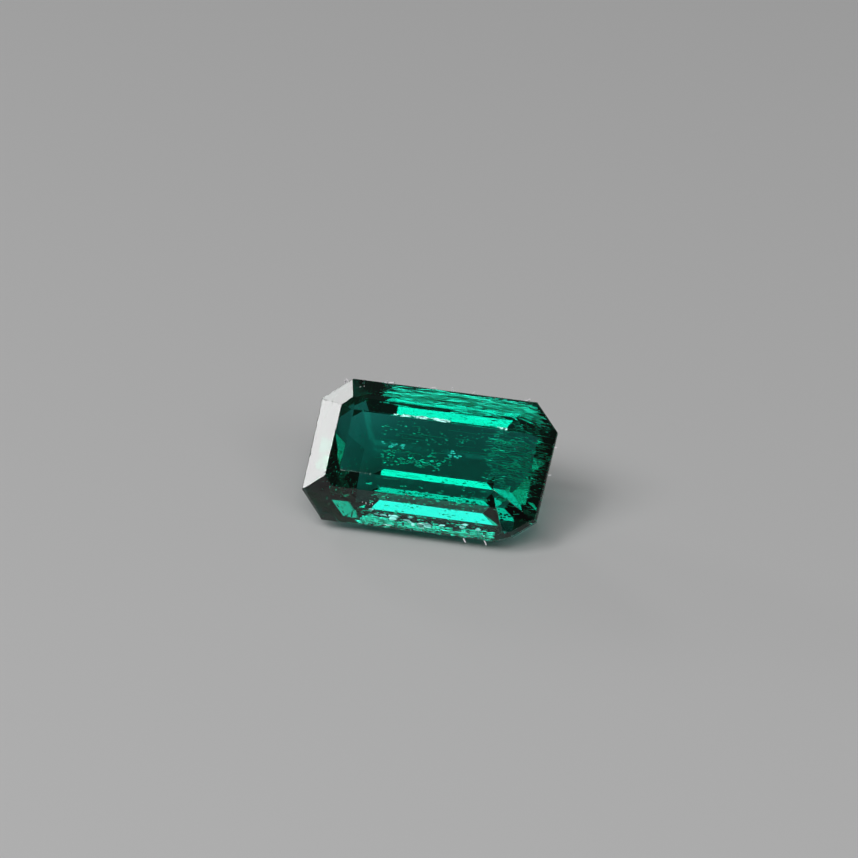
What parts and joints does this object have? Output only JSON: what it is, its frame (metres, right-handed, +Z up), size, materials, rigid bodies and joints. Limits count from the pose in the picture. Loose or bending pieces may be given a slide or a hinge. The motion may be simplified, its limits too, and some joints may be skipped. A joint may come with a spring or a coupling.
{
  "type": "emerald-cut gemstone",
  "caption": "Loose green gemstone cut as a long rectangle with trimmed corners, stepped crown and pavilion, lying tilted on one pavilion facet.",
  "frame": {"origin": "middle of the stone's box, on the surface that the front facet of the pavilion's middle tier rests on", "axes": "+X along the stone's length, +Z up, and the table faces up and towards -Y, 43 degrees from level"},
  "size_m": [0.0088, 0.0044, 0.0043],
  "materials": {
    "crystal": "polished, clear bluish green crystal with fine inclusions"
  },
  "bodies": {
    "root": {"emerald": "crystal"}
  },
  "joints": []
}
